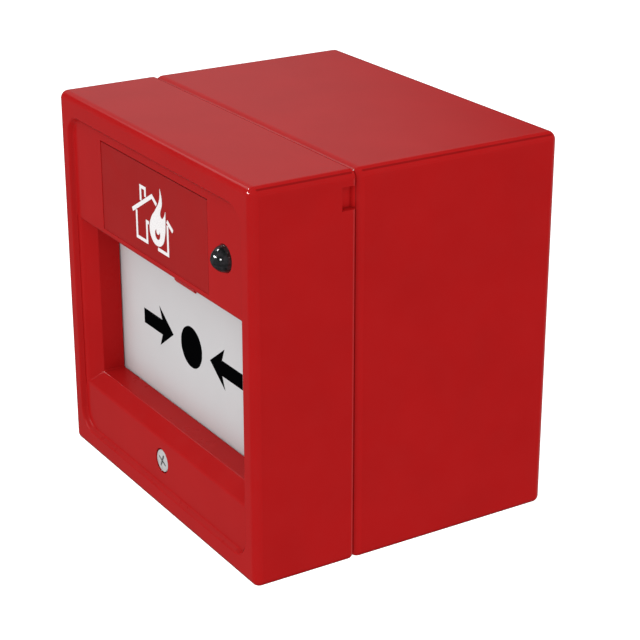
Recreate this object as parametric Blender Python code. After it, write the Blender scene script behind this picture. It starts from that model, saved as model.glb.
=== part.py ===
"""Manual call point: surface box, hinged front cover, rocking press plate, alarm flag and switch.

Seen from the front, +X is right, +Z is up and -Y points at the user. The wall plane is y = 0.
Lengths are in millimetres and "depth" is counted back from the front rim of the cover.
world() turns both into Blender's metres.
"""

import math

import bmesh
import bpy
from mathutils import Vector

# Driving dimensions, in millimetres
MM = 0.001
GAP = 0.3
HALF = 43.5
TOTAL_DEPTH = 74.4
CORNER = 1.7

COVER_BACK = 24.4
COVER_WALL = 2.2
PANEL_FRONT = 1.15
PANEL_BACK = 3.15
RIM_EDGE = (39.5, 39.0)
PANEL_HALF = 37.5
FUNNEL_BACK = 9.14
WINDOW_HALF = 34.1
WINDOW_BOTTOM = -23.5
HOOD_EDGE = 14.1
LABEL_X = (-24.7, 23.8)
LABEL_Z = (15.9, 35.7)
LENS_AT = (30.8, 25.5)
COVER_SCREW_AT = (0.0, -32.1)
NOTCH_Z = (35.4, 40.3)
NOTCH_FACE = 41.6
KEY_AT = (-18.0, 15.0)

SEAM_ROUND = 1.0
HINGE_DEPTH = COVER_BACK - SEAM_ROUND
HINGE_Z = HALF - SEAM_ROUND
HINGE_BAR_RADIUS = 0.95
HOOK_X = (25.5, 32.5)

BOX_FRONT = COVER_BACK + GAP
BOX_WALL = 2.5
BOX_FLOOR = 71.4
LIP_DEPTH = (BOX_FRONT - 1.0, BOX_FRONT + 1.9)
PILLAR_AT = 33.0
CABLE_ENTRY_Z = 18.0
CABLE_ENTRY_RADIUS = 9.0
PLUG_DEPTH = 49.0

PLATE_FRONT = 20.5
PLATE_BACK = 22.5
BOARD_FRONT = PLATE_BACK + GAP
BOARD_BACK = 24.4
PIVOT_DEPTH = 13.5
PIVOT_Z = -27.2
PIN_RADIUS = 0.85

ELEMENT_FRONT = 9.44
ELEMENT_BACK = 11.24
ELEMENT_HALF = 35.2
ELEMENT_Z = (-26.0, 17.0)
SPRING_AT = (26.0, 10.0)

FLAG_FRONT = 9.5
FLAG_BACK = 10.5
FLAG_HALF = 22.8
FLAG_Z = (21.6, 34.6)

LEVER_DEPTH = 15.9
LEVER_LEAN = math.radians(18.9)
LEVER_LENGTH = 12.6
SWITCH_FRONT = 16.7

RED = (0.40, 0.012, 0.012)
DARK_RED = (0.31, 0.014, 0.012)
PALE = (0.60, 0.58, 0.57)
STEEL = (0.62, 0.62, 0.63)
BLACK = (0.02, 0.02, 0.022)


# Mesh helpers

def world(x, depth, z):
    return Vector((x * MM, (depth - TOTAL_DEPTH) * MM, z * MM))


def place(axis, along, u, v):
    """A point from its position along an axis and the two other coordinates, in x, depth, z order."""
    if axis == "x":
        return world(along, u, v)
    if axis == "d":
        return world(u, along, v)
    return world(u, v, along)


def finish(name, bm, smooth):
    bmesh.ops.recalc_face_normals(bm, faces=bm.faces)
    mesh = bpy.data.meshes.new(name)
    bm.to_mesh(mesh)
    bm.free()
    if smooth:
        mesh.shade_smooth()
        mesh.set_sharp_from_angle(angle=math.radians(35))
    obj = bpy.data.objects.new(name, mesh)
    bpy.context.scene.collection.objects.link(obj)
    return obj


def stack(name, axis, rings, smooth=False):
    """A solid through equal-sized rings, each (position along the axis, [(u, v), ...])."""
    bm = bmesh.new()
    loops = [[bm.verts.new(place(axis, along, u, v)) for u, v in ring] for along, ring in rings]
    for near, far in zip(loops, loops[1:]):
        for i in range(len(near)):
            j = (i + 1) % len(near)
            bm.faces.new((near[i], near[j], far[j], far[i]))
    bm.faces.new(loops[0])
    bm.faces.new(loops[-1])
    return finish(name, bm, smooth)


def rectangle(x0, x1, z0, z1, radius, steps=4):
    """The outline of a rectangle with rounded corners."""
    corners = ((x1 - radius, z1 - radius), (x0 + radius, z1 - radius),
               (x0 + radius, z0 + radius), (x1 - radius, z0 + radius))
    points = []
    for quarter, (cx, cz) in enumerate(corners):
        for step in range(steps + 1):
            angle = math.pi / 2 * (quarter + step / steps)
            points.append((cx + radius * math.cos(angle), cz + radius * math.sin(angle)))
    return points


def loft(name, sections, smooth=True):
    """A solid along the depth from sections (depth, x0, x1, z0, z1, corner radius)."""
    return stack(name, "d", [(s[0], rectangle(*s[1:])) for s in sections], smooth)


def block(name, x, depth, z):
    outline = [(x[0], z[0]), (x[1], z[0]), (x[1], z[1]), (x[0], z[1])]
    return stack(name, "d", [(depth[0], outline), (depth[1], outline)])


def prism(name, x, profile):
    """A (depth, z) outline extruded along x."""
    return stack(name, "x", [(x[0], profile), (x[1], profile)])


def circle(centre, radius, sides):
    steps = [2 * math.pi * i / sides for i in range(sides)]
    return [(centre[0] + radius * math.cos(a), centre[1] + radius * math.sin(a)) for a in steps]


def turned(name, axis, centre, profile, sides=24):
    """A round solid from (position along the axis, radius) pairs."""
    return stack(name, axis, [(p, circle(centre, r, sides)) for p, r in profile], smooth=True)


def rod(name, axis, centre, radius, span, sides=24):
    return turned(name, axis, centre, [(span[0], radius), (span[1], radius)], sides)


def boolean(target, tool, operation):
    modifier = target.modifiers.new(tool.name, "BOOLEAN")
    modifier.operation = operation
    modifier.solver = "EXACT"
    modifier.object = tool
    tool.hide_render = True
    tool.display_type = "WIRE"


def join(target, *tools):
    for tool in tools:
        boolean(target, tool, "UNION")


def cut(target, *tools):
    for tool in tools:
        boolean(target, tool, "DIFFERENCE")


def paint(obj, colour, roughness, metallic=0.0):
    material = bpy.data.materials.new(obj.name)
    material.use_nodes = True
    shader = material.node_tree.nodes["Principled BSDF"]
    shader.inputs["Base Color"].default_value = (*colour, 1.0)
    shader.inputs["Roughness"].default_value = roughness
    shader.inputs["Metallic"].default_value = metallic
    obj.data.materials.append(material)
    return obj


def hang(obj, parent, origin=None):
    """Moves the object's origin without moving its shape, then parents it."""
    if origin is not None:
        for vertex in obj.data.vertices:
            vertex.co -= origin
        obj.location = origin
    if parent is not None:
        obj.parent = parent
        obj.location = obj.location - parent.location


def rounded_case(name, front, back, front_round, back_round):
    """A square case with rounded front, back and long edges."""
    sections = []
    for step in range(5):
        angle = math.pi / 2 * step / 4
        inset = front_round * (1 - math.sin(angle))
        sections.append((front + front_round * (1 - math.cos(angle)), inset))
    for step in range(5):
        angle = math.pi / 2 * step / 4
        inset = back_round * (1 - math.cos(angle))
        sections.append((back - back_round * (1 - math.sin(angle)), inset))
    rings = []
    for depth, inset in sections:
        half = HALF - inset
        rings.append((depth, -half, half, -half, half, max(CORNER - inset, 0.3)))
    return loft(name, rings)


def sides():
    return (("left", -1), ("right", 1))


def span(low, high, sign=1):
    """A range, mirrored when the sign is negative."""
    return tuple(sorted((low * sign, high * sign)))


def cross_slot(target, at, depth, length):
    """A cross recess in a screw head that faces forwards."""
    x, z = at
    wide = block("slot_wide", (x - length, x + length), depth, (z - 0.4, z + 0.4))
    tall = block("slot_tall", (x - 0.4, x + 0.4), depth, (z - length, z + length))
    cut(target, wide, tall)


# Front cover and the pieces fixed in it

def make_cover():
    cover = rounded_case("front_cover", 0.0, COVER_BACK, 2.0, SEAM_ROUND)
    cut(cover, rim_recess(), cover_cavity())
    join(cover, funnel_outside(), screw_boss())
    for side, sign in sides():
        join(cover, block(f"notch_pad_{side}", span(38.6, 41.9, sign), (19.8, COVER_BACK - 0.3), (34.4, 41.9)))
    cut(cover, window_cutter())
    cut(cover, block("label_recess", (-24.9, 24.0), (-1.0, 2.0), (15.7, 35.9)))
    cut(cover, rod("lens_hole", "d", LENS_AT, 3.2, (-1.0, 5.0)))
    cut(cover, rod("screw_counterbore", "d", COVER_SCREW_AT, 2.9, (-1.0, 3.25)))
    cut(cover, rod("screw_hole", "d", COVER_SCREW_AT, 1.8, (2.0, 9.0)))
    cut(cover, loft("key_slot", [(13.5, -22.0, -14.0, -45.0, -40.0, 0.4),
                                 (16.5, -22.0, -14.0, -45.0, -40.0, 0.4)]))
    for side, sign in sides():
        cut(cover, block(f"flap_notch_{side}", span(NOTCH_FACE, 45.0, sign), (20.8, COVER_BACK + 1.0), NOTCH_Z))
        cut(cover, block(f"hinge_pocket_{side}", span(24.0, 34.0, sign), (19.5, COVER_BACK + 1.0), (40.3, 42.7)))
        join(cover, rod(f"hinge_bar_{side}", "x", (HINGE_DEPTH, HINGE_Z), HINGE_BAR_RADIUS,
                        span(23.6, 34.4, sign)))
    tab = [(8.2, 7.9), (8.7, 7.1), (9.0, 7.2), (9.0, 15.0), (8.2, 15.0)]
    join(cover, prism("hood_tab", (-5.2, 5.2), tab))
    return paint(cover, RED, 0.22)


def rim_recess():
    """The shallow S-shaped step from the rim down to the panel."""
    rings = [(-1.0, -RIM_EDGE[0], RIM_EDGE[0], -RIM_EDGE[1], RIM_EDGE[1], 5.0)]
    for step in range(5):
        part = step / 4
        half_x = RIM_EDGE[0] + (PANEL_HALF - RIM_EDGE[0]) * part
        half_z = RIM_EDGE[1] + (PANEL_HALF - RIM_EDGE[1]) * part
        depth = PANEL_FRONT * (0.5 - 0.5 * math.cos(math.pi * part))
        rings.append((depth, -half_x, half_x, -half_z, half_z, 5.0 - part))
    return loft("rim_recess", rings)


def cover_cavity():
    inside = HALF - COVER_WALL
    return loft("cover_cavity", [(PANEL_BACK, -inside, inside, -inside, inside, 1.2),
                                 (COVER_BACK + 1.0, -inside, inside, -inside, inside, 1.2)])


def funnel_outside():
    """The four walls that lead from the panel back to the press plate."""
    rings = [(2.6, 38.4, -27.8, 16.5), (5.2, 36.2, -25.6, 15.9), (FUNNEL_BACK, 35.8, -25.2, 15.7)]
    return loft("funnel_outside", [(d, -x, x, low, high, 1.5) for d, x, low, high in rings])


def window_cutter():
    """The finger opening, with a bevel at its front on three sides."""
    rings = [(0.2, 37.3, -26.7, 14.9), (1.16, 37.3, -26.7, 14.9), (1.9, 36.9, -26.3, 14.2),
             (2.9, 35.6, -25.0, HOOD_EDGE), (3.9, WINDOW_HALF, WINDOW_BOTTOM, HOOD_EDGE),
             (12.0, WINDOW_HALF, WINDOW_BOTTOM, HOOD_EDGE)]
    return loft("window_cutter", [(d, -x, x, low, high, 0.8) for d, x, low, high in rings])


def screw_boss():
    return rod("screw_boss", "d", COVER_SCREW_AT, 4.5, (2.5, 7.25))


def make_label():
    label = block("symbol_label", LABEL_X, (1.25, 1.7), LABEL_Z)
    return paint(label, DARK_RED, 0.35)


def make_lens():
    profile = [(4.2, 4.0), (3.45, 4.0), (3.45, 2.9), (0.5, 2.9), (-0.2, 2.75), (-0.85, 2.35),
               (-1.35, 1.75), (-1.7, 1.05), (-1.85, 0.35)]
    return paint(turned("led_lens", "d", LENS_AT, profile, 28), BLACK, 0.08)


def make_cover_screw():
    profile = [(0.85, 2.2), (1.1, 2.45), (2.95, 2.45), (2.95, 1.5), (14.4, 1.5), (15.0, 1.0)]
    screw = turned("cover_screw", "d", COVER_SCREW_AT, profile)
    cross_slot(screw, COVER_SCREW_AT, (0.5, 2.2), 1.5)
    return paint(screw, STEEL, 0.3, 1.0)


def make_retainer():
    retainer = rod("screw_retainer", "d", COVER_SCREW_AT, 2.9, (7.6, 8.2))
    cut(retainer, rod("retainer_bore", "d", COVER_SCREW_AT, 1.8, (7.0, 9.0)))
    return paint(retainer, BLACK, 0.5)


# Back box

def make_box():
    box = rounded_case("back_box", BOX_FRONT, TOTAL_DEPTH, SEAM_ROUND, 1.5)
    inside = HALF - BOX_WALL
    cut(box, loft("box_cavity", [(BOX_FRONT - 1.0, -inside, inside, -inside, inside, 1.2),
                                 (BOX_FLOOR, -inside, inside, -inside, inside, 1.2)]))
    add_seam_lip(box)
    for side, sign in sides():
        for level, lift in (("low", -1), ("high", 1)):
            add_pillar(box, f"{level}_{side}", sign * PILLAR_AT, lift * PILLAR_AT, sign, lift)
        cut(box, wall_slot(f"wall_slot_{side}", sign * 30.15))
    cut(box, rod("cable_entry", "d", (0.0, CABLE_ENTRY_Z), CABLE_ENTRY_RADIUS, (70.0, 76.0), 32))
    cut(box, rod("conduit_entry", "z", (0.0, PLUG_DEPTH), 10.2, (-45.0, -40.0), 32))
    return paint(box, RED, 0.22)


def add_seam_lip(box):
    """A thin lip inside the cover's edge, on the three sides that swing clear of it."""
    outer = HALF - COVER_WALL - GAP
    root = (LIP_DEPTH[1] - 1.2, LIP_DEPTH[1] + 0.1)
    for side, sign in sides():
        join(box, block(f"lip_{side}", span(40.2, outer, sign), LIP_DEPTH, (-37.0, 33.5)))
        join(box, block(f"lip_root_{side}", span(40.3, outer + 0.8, sign), root, (-37.2, 33.3)))
    join(box, block("lip_bottom", (-37.0, 37.0), LIP_DEPTH, (-outer, -40.2)))
    join(box, block("lip_root_bottom", (-37.2, 37.2), root, (-outer - 0.8, -40.3)))


def add_pillar(box, label, x, z, sign, lift):
    """A round screw pillar with two webs to the nearest walls."""
    reach = HALF - 1.0
    post = rod(f"pillar_{label}", "d", (x, z), 4.0, (BOX_FRONT, BOX_FLOOR + 1.0))
    web_x = block(f"web_x_{label}", span(abs(x), reach, sign), (26.5, BOX_FLOOR + 0.9), (z - 0.8, z + 0.8))
    web_z = block(f"web_z_{label}", (x - 0.8, x + 0.8), (26.8, BOX_FLOOR + 0.8), span(abs(z), reach, lift))
    join(box, post, web_x, web_z)
    cut(box, rod(f"pillar_bore_{label}", "d", (x, z), 1.7, (BOX_FRONT - 1.0, 36.0), 16))


def wall_slot(name, x):
    return loft(name, [(70.0, x - 4.0, x + 4.0, -2.2, 2.2, 2.15), (76.0, x - 4.0, x + 4.0, -2.2, 2.2, 2.15)])


def make_plug():
    profile = [(-43.4, 9.4), (-43.0, 9.8), (-40.7, 9.8), (-40.7, 11.6), (-39.2, 11.6)]
    plug = turned("entry_plug", "z", (0.0, PLUG_DEPTH), profile, 32)
    cut(plug, rod("plug_dish", "z", (0.0, PLUG_DEPTH), 8.0, (-45.0, -42.6), 32))
    return paint(plug, RED, 0.3)


# Chassis, which carries the mechanism, and the pieces fixed to it

def make_chassis():
    chassis = loft("chassis", [(PLATE_FRONT, -38.2, 38.2, -40.4, 40.2, 3.0),
                               (PLATE_BACK, -38.2, 38.2, -40.4, 40.2, 3.0)])
    cut(chassis, block("switch_window", (-3.3, 3.3), (19.0, 24.0), (-1.4, 12.2)))
    for side, sign in sides():
        add_pivot_brackets(chassis, side, sign)
        add_flag_rail(chassis, side, sign)
        add_hook(chassis, side, sign)
        add_legs(chassis, side, sign)
        join(chassis, rod(f"spring_post_{side}", "d", (sign * SPRING_AT[0], SPRING_AT[1]), 1.5, (18.0, 21.0), 16))
        join(chassis, rod(f"board_boss_{side}", "d", (sign * 24.0, -2.0), 2.5, (17.0, 21.0), 16))
        cut(chassis, rod(f"board_bore_{side}", "d", (sign * 24.0, -2.0), 1.1, (17.8, 24.0), 16))
    join(chassis, rod("lamp_post", "d", LENS_AT, 2.6, (9.9, 21.0)))
    join(chassis, rod("insert_post", "d", COVER_SCREW_AT, 3.8, (11.7, 21.0)))
    cut(chassis, rod("insert_bore", "d", COVER_SCREW_AT, 2.7, (11.0, 18.4)))
    join(chassis, block("key_bracket", (-22.0, -14.0), (11.5, 21.0), (-38.2, -34.0)))
    cut(chassis, rod("key_bore", "z", KEY_AT, 2.3, (-39.0, -33.0)))
    return paint(chassis, BLACK, 0.55)


def add_pivot_brackets(chassis, side, sign):
    for label, low, high in (("inner", 18.5, 20.5), ("outer", 31.5, 33.5)):
        name = f"bracket_{label}_{side}"
        join(chassis, block(name, span(low, high, sign), (11.65, 21.0), (-29.4, -25.3)))
    cut(chassis, rod(f"bracket_bore_{side}", "x", (PIVOT_DEPTH, PIVOT_Z), 1.0, span(17.0, 36.0, sign)))


def add_flag_rail(chassis, side, sign):
    join(chassis, block(f"rail_{side}", span(22.0, 25.0, sign), (8.8, 11.4), (17.9, 36.0)))
    join(chassis, block(f"rail_arm_{side}", span(23.5, 24.9, sign), (11.0, 21.0), (29.0, 35.9)))
    cut(chassis, block(f"rail_groove_{side}", span(21.0, 23.2, sign), (9.15, 10.85), (17.0, 37.0)))


def add_hook(chassis, side, sign):
    join(chassis, block(f"hook_{side}", span(*HOOK_X, sign), (20.4, HINGE_DEPTH + 0.9), (38.5, 42.3)))
    cut(chassis, rod(f"hook_seat_{side}", "x", (HINGE_DEPTH, HINGE_Z), 1.3, span(25.0, 33.0, sign)))


def add_legs(chassis, side, sign):
    for level, lift in (("low", -1), ("high", 1)):
        at = (sign * PILLAR_AT, lift * PILLAR_AT)
        join(chassis, rod(f"leg_{level}_{side}", "d", at, 3.8, (22.0, COVER_BACK)))
        cut(chassis, rod(f"leg_bore_{level}_{side}", "d", at, 1.7, (19.0, 25.0), 16))


def make_module_screw(name, at):
    screw = turned(name, "d", at, [(18.4, 2.3), (18.9, 2.8), (20.2, 2.8), (20.2, 1.4), (33.0, 1.4)], 16)
    cross_slot(screw, at, (17.5, 19.4), 1.6)
    return paint(screw, STEEL, 0.35, 1.0)


def make_insert():
    insert = rod("screw_insert", "d", COVER_SCREW_AT, 2.4, (12.0, 17.8))
    cut(insert, rod("insert_thread", "d", COVER_SCREW_AT, 1.9, (11.0, 19.0)))
    return paint(insert, (0.60, 0.42, 0.14), 0.35, 1.0)


def make_pin():
    return paint(rod("element_pin", "x", (PIVOT_DEPTH, PIVOT_Z), PIN_RADIUS, (-34.0, 34.0)), STEEL, 0.3, 1.0)


def make_board():
    board = block("circuit_board", (-34.0, 34.0), (BOARD_FRONT, BOARD_BACK), (-24.0, 24.0))
    for side, sign in sides():
        cut(board, rod(f"board_hole_{side}", "d", (sign * 24.0, -2.0), 1.3, (22.0, 26.0), 16))
    return paint(board, (0.02, 0.12, 0.04), 0.4)


def make_board_screw(name, x):
    profile = [(18.2, 0.8), (24.7, 0.8), (24.7, 2.0), (25.7, 2.0), (26.0, 1.7)]
    return paint(turned(name, "d", (x, -2.0), profile, 16), STEEL, 0.35, 1.0)


def terminal_positions():
    return [-11.1, -3.7, 3.7, 11.1]


def make_terminal_block():
    body = block("terminal_block", (-15.0, 15.0), (24.7, 35.0), (-21.0, -9.0))
    for number, x in enumerate(terminal_positions(), 1):
        cut(body, block(f"wire_way_{number}", (x - 2.3, x + 2.3), (27.5, 32.0), (-22.0, -12.5)))
        cut(body, rod(f"screw_well_{number}", "d", (x, -15.5), 2.25, (31.0, 36.0), 16))
    return paint(body, (0.02, 0.13, 0.06), 0.45)


def make_terminal_screw(number, x):
    profile = [(28.5, 1.1), (32.6, 1.1), (32.6, 1.9), (34.2, 1.9)]
    screw = turned(f"terminal_screw_{number}", "d", (x, -15.5), profile, 16)
    cut(screw, block(f"terminal_slot_{number}", (x - 2.5, x + 2.5), (33.5, 35.0), (-15.8, -15.2)))
    return paint(screw, STEEL, 0.35, 1.0)


def make_small_parts():
    chip = paint(block("control_chip", (4.0, 14.0), (24.7, 26.3), (2.0, 12.0)), BLACK, 0.4)
    can = [(24.7, 3.0), (25.0, 3.15), (32.6, 3.15), (33.0, 2.8)]
    capacitor = paint(turned("capacitor", "d", (-12.0, 8.0), can), (0.05, 0.06, 0.12), 0.3)
    band = [(2.0, 1.0), (2.4, 1.25), (8.6, 1.25), (9.0, 1.0)]
    upper = paint(turned("resistor_upper", "x", (26.3, 20.5), band, 16), (0.55, 0.42, 0.28), 0.5)
    lower = paint(turned("resistor_lower", "x", (26.3, 16.5), band, 16), (0.55, 0.42, 0.28), 0.5)
    profile = [(9.6, 2.4), (6.6, 2.4), (5.7, 2.1), (5.2, 1.4), (5.0, 0.5)]
    lamp = paint(turned("led_lamp", "d", LENS_AT, profile), (0.7, 0.7, 0.68), 0.2)
    return [chip, capacitor, upper, lower, lamp]


# Press plate, flag and switch

def make_element():
    element = loft("operating_element", [
        (ELEMENT_FRONT, -ELEMENT_HALF, ELEMENT_HALF, *ELEMENT_Z, 1.0),
        (ELEMENT_BACK, -ELEMENT_HALF, ELEMENT_HALF, *ELEMENT_Z, 1.0)])
    for side, sign in sides():
        knuckle = span(22.0, 30.0, sign)
        join(element, block(f"knuckle_web_{side}", knuckle, (10.8, 13.5), (-28.6, -23.0)))
        join(element, rod(f"knuckle_{side}", "x", (PIVOT_DEPTH, PIVOT_Z), 1.9, span(22.1, 29.9, sign)))
        cut(element, rod(f"knuckle_bore_{side}", "x", (PIVOT_DEPTH, PIVOT_Z), 0.97, span(21.0, 31.0, sign)))
        join(element, rod(f"spring_seat_{side}", "d", (sign * SPRING_AT[0], SPRING_AT[1]), 1.5, (10.8, 12.6), 16))
    return paint(element, PALE, 0.5)


def make_spring(name, x):
    """A compression spring as a bevelled curve."""
    turns, steps, radius, wire = 5, 14, 2.3, 0.3
    start = ELEMENT_BACK + GAP + wire
    end = PLATE_FRONT - GAP - wire
    curve = bpy.data.curves.new(name, "CURVE")
    curve.dimensions = "3D"
    curve.bevel_depth = wire * MM
    curve.bevel_resolution = 1
    curve.use_fill_caps = True
    spline = curve.splines.new("POLY")
    count = turns * steps + 1
    spline.points.add(count - 1)
    for i, point in enumerate(spline.points):
        angle = 2 * math.pi * i / steps
        depth = start + (end - start) * i / (count - 1)
        at = world(x + radius * math.cos(angle), depth, SPRING_AT[1] + radius * math.sin(angle))
        point.co = (*at, 1.0)
    obj = bpy.data.objects.new(name, curve)
    bpy.context.scene.collection.objects.link(obj)
    return paint(obj, STEEL, 0.3, 1.0)


def make_flag():
    flag = block("alarm_flag", (-FLAG_HALF, FLAG_HALF), (FLAG_FRONT, FLAG_BACK), FLAG_Z)
    return paint(flag, (0.75, 0.50, 0.01), 0.4)


def make_switch():
    body = block("switch_body", (-2.9, 2.9), (SWITCH_FRONT, PLATE_BACK), (-1.0, 11.8))
    for side, sign in sides():
        join(body, block(f"switch_ear_{side}", span(1.95, 2.8, sign), (15.2, 17.2), (-0.9, 0.9)))
    cut(body, block("plunger_bore", (-1.05, 1.05), (15.0, 20.6), (2.3, 3.7)))
    return paint(body, BLACK, 0.5)


def make_lever():
    """A thin strip that leans forwards from its root."""
    along = Vector((-math.sin(LEVER_LEAN), math.cos(LEVER_LEAN)))
    across = Vector((math.cos(LEVER_LEAN), math.sin(LEVER_LEAN))) * 0.2
    root = Vector((LEVER_DEPTH, 0.0))
    tip = root + along * LEVER_LENGTH
    outline = [root - across, root + across, tip + across, tip - across]
    lever = prism("switch_lever", (-1.55, 1.55), [tuple(p) for p in outline])
    join(lever, rod("lever_root", "x", (LEVER_DEPTH, 0.0), 0.45, (-1.65, 1.65), 16))
    return paint(lever, STEEL, 0.3, 1.0)


def make_plunger():
    return paint(block("switch_plunger", (-0.75, 0.75), (15.5, 19.0), (2.6, 3.4)), (0.5, 0.02, 0.02), 0.4)


def make_key_barrel():
    profile = [(-40.3, 3.0), (-40.0, 3.3), (-38.5, 3.3), (-38.5, 2.0), (-33.7, 2.0),
               (-33.7, 3.0), (-32.6, 3.0), (-32.6, 1.6), (-31.5, 1.6)]
    barrel = turned("reset_barrel", "z", KEY_AT, profile)
    x, depth = KEY_AT
    cut(barrel, block("key_way", (x - 2.4, x + 2.4), (depth - 0.7, depth + 0.7), (-41.0, -39.0)))
    join(barrel, block("barrel_cam", (x - 5.0, x), (depth - 0.9, depth + 0.9), (-33.6, -32.7)))
    return paint(barrel, (0.30, 0.30, 0.31), 0.4, 0.8)


def build():
    for obj in list(bpy.data.objects):
        bpy.data.objects.remove(obj)

    box = make_box()
    hinge = world(0.0, HINGE_DEPTH, HINGE_Z)
    pivot = world(0.0, PIVOT_DEPTH, PIVOT_Z)

    cover = make_cover()
    hang(cover, box, hinge)
    screw_axis = world(COVER_SCREW_AT[0], PANEL_FRONT, COVER_SCREW_AT[1])
    screw = make_cover_screw()
    retainer = make_retainer()
    for piece, at in ((make_label(), None), (make_lens(), None), (screw, screw_axis), (retainer, screw_axis)):
        hang(piece, cover, at)

    fixed = [make_chassis(), make_plug(), make_insert(), make_pin(), make_board(), make_terminal_block()]
    for level, lift in (("low", -1), ("high", 1)):
        for side, sign in sides():
            fixed.append(make_module_screw(f"module_screw_{level}_{side}", (sign * PILLAR_AT, lift * PILLAR_AT)))
    for side, sign in sides():
        fixed.append(make_board_screw(f"board_screw_{side}", sign * 24.0))
    for number, x in enumerate(terminal_positions(), 1):
        fixed.append(make_terminal_screw(number, x))
    fixed += [make_switch(), *make_small_parts()]
    for side, sign in sides():
        fixed.append(make_spring(f"element_spring_{side}", sign * SPRING_AT[0]))
    for piece in fixed:
        hang(piece, box)

    hang(make_element(), box, pivot)
    hang(make_flag(), box, world(0.0, FLAG_FRONT, FLAG_Z[0]))
    hang(make_lever(), box, world(0.0, LEVER_DEPTH, 0.0))
    hang(make_plunger(), box, world(0.0, 15.5, 3.0))
    hang(make_key_barrel(), box, world(KEY_AT[0], KEY_AT[1], -40.3))


build()
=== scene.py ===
"""Looks for the manual call point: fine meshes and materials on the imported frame.

Lengths are in millimetres and "depth" is counted back from the front rim of the cover, as seen
from the front with +X right and +Z up. world() turns both into the frame's metres.
"""

import math

import bmesh
import bpy
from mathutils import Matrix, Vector

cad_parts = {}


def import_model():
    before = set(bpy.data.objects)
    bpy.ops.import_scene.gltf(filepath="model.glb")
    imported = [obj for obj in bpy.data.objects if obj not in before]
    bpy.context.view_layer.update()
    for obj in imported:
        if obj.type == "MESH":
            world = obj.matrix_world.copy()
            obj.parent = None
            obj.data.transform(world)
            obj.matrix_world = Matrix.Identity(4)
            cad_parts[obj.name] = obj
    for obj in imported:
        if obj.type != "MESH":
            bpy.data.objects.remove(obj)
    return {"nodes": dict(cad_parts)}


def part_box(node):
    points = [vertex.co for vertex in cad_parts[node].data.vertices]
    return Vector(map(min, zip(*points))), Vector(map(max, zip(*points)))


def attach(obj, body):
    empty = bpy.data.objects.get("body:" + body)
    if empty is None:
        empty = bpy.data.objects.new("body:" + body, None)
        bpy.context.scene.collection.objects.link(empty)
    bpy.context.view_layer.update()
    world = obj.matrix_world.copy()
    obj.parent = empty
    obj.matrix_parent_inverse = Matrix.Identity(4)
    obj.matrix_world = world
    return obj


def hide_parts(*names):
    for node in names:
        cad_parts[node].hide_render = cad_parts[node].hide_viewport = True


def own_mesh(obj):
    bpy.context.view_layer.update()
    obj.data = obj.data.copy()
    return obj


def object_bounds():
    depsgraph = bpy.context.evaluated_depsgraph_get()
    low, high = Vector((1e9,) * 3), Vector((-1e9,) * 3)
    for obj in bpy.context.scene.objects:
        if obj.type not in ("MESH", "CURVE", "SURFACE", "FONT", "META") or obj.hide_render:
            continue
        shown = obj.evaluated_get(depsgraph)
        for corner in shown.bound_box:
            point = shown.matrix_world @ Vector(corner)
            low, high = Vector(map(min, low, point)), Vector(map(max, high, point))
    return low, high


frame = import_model()
CAD_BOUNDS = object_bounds()

MM = 0.001
COVER_LOW, COVER_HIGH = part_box("front_cover")
BOX_LOW, BOX_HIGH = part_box("back_box")
HALF = COVER_HIGH.x / MM


def depth_of(y):
    """A y coordinate as a depth in millimetres."""
    return (y - COVER_LOW.y) / MM


def spot(node):
    """The centre of a node seen from the front, as (x, z) in millimetres."""
    low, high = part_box(node)
    return ((low.x + high.x) / 2 / MM, (low.z + high.z) / 2 / MM)


def extent(node):
    """A node's box as ((x0, x1), (depth0, depth1), (z0, z1)) in millimetres."""
    low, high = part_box(node)
    return ((low.x / MM, high.x / MM), (depth_of(low.y), depth_of(high.y)), (low.z / MM, high.z / MM))


COVER_BACK = depth_of(COVER_HIGH.y)
BOX_FRONT = depth_of(BOX_LOW.y)
BOX_BACK = depth_of(BOX_HIGH.y)
LENS_AT = spot("led_lens")
SCREW_AT = spot("cover_screw")
ELEMENT = extent("operating_element")
LABEL = extent("symbol_label")

# The two shells: radius of the long edges, roundings at the seam and wall thicknesses
EDGE = 1.9
COVER_SEAM = 1.2
BOX_SEAM = 2.4
COVER_WALL = 2.2
BOX_WALL = 2.5
CAVITY_CORNER = 1.2

# A coordinate outside the shells, for what reaches right through a wall
BEYOND = 45.0

# The cover's face: depth of the panel and half sizes (x, z) of the rim's opening and the panel
PANEL = 1.15
RIM_HALF = (39.6, 38.85)
PANEL_HALF = (38.3, 37.65)
FACE_BACK = 3.15

# The window: half width, bottom edge, lower edge of the hood, and the chamfer down to its crease
WINDOW_HALF = 34.1
WINDOW_BOTTOM = -23.5
HOOD_EDGE = 14.1
CHAMFER = 3.3
CREASE = 3.9
FUNNEL_BACK = 9.14
LABEL_DROP = 0.5

# The square notches in the cover's sides
NOTCH_FRONT = 20.8
NOTCH_FACE = 41.6
NOTCH_Z = (35.4, 40.3)

# Inside the box: the lip that the cover slips over, the floor, and the pillars and slots off its axis
LIP_DEPTH = (BOX_FRONT - 1.0, BOX_FRONT + 1.9)
LIP_INSIDE = 40.2
LIP_OUTSIDE = HALF - COVER_WALL - 0.3
BOX_FLOOR = 71.4
PILLAR_AT = 33.0
WALL_SLOT_AT = 30.15

# Depth and height of the press plate's pivot
PIVOT = (13.5, -27.2)

# Camera, in degrees round from the front and up, and metres
AZIMUTH = 58.04
ELEVATION = 21.96
CAMERA_DISTANCE = 0.42
CAMERA_TARGET = Vector((0.00475, -0.03459, -0.00483))
LENS_MM = 104.56

# Floor, in metres
FLOOR_SIZE = 6.0
FLOOR_DROP = 0.12


# Mesh helpers

def world(x, depth, z):
    return Vector((x * MM, COVER_LOW.y + depth * MM, z * MM))


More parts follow.
